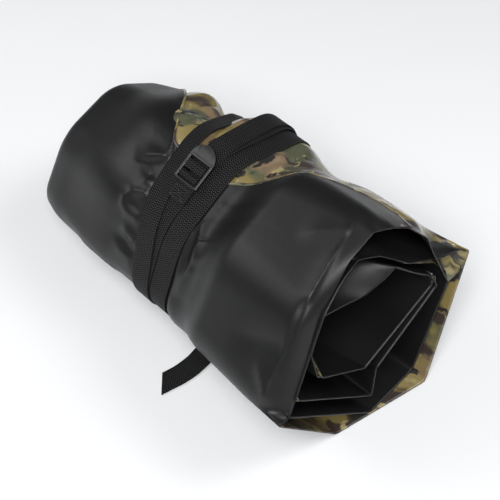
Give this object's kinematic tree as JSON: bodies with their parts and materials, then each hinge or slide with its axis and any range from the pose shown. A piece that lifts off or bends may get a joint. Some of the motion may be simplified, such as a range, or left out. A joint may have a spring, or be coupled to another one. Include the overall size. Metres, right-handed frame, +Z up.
{
  "type": "rolled ground sheet",
  "caption": "Waterproof two-faced ground sheet, folded in half and rolled, held by a wound webbing strap with a tilting ladder-lock buckle.",
  "frame": {"origin": "bottom centre of the bounding box, on the ground plane", "axes": "+X along the roll towards its open mouth, +Y to the side away from the strap's loose tail, +Z up"},
  "size_m": [0.428, 0.2626, 0.2481],
  "materials": {
    "black_coated_face": "black coated fabric, satin, softly wrinkled",
    "printed_film_face": "camouflage print in olive, mustard, grey-green and brown under a glossy clear film",
    "black_webbing": "black ribbed woven nylon webbing, matte",
    "black_thread": "black bonded sewing thread",
    "moulded_buckle": "black moulded acetal, fine satin grain"
  },
  "bodies": {
    "roll": {"outer_ply": "black_coated_face", "inner_ply": "printed_film_face", "closed_end_fold": "black_coated_face", "outer_edge_hem": "black_coated_face", "inner_edge_hem": "printed_film_face", "strap_webbing": "black_webbing", "strap_tail": "black_webbing", "loop_stitching": "black_thread"},
    "buckle": {"ladder_lock": "moulded_buckle", "threaded_webbing": "black_webbing"}
  },
  "joints": [
    {"name": "buckle_tilt", "type": "hinge", "parent": "roll", "child": "buckle", "pos_m": [-0.019, -0.02503, 0.19882], "axis": [1, 0, 0], "range_deg": [0, 12], "stiffness_Nm_per_rad": 0.02, "springref_deg": -5.73}
  ]
}
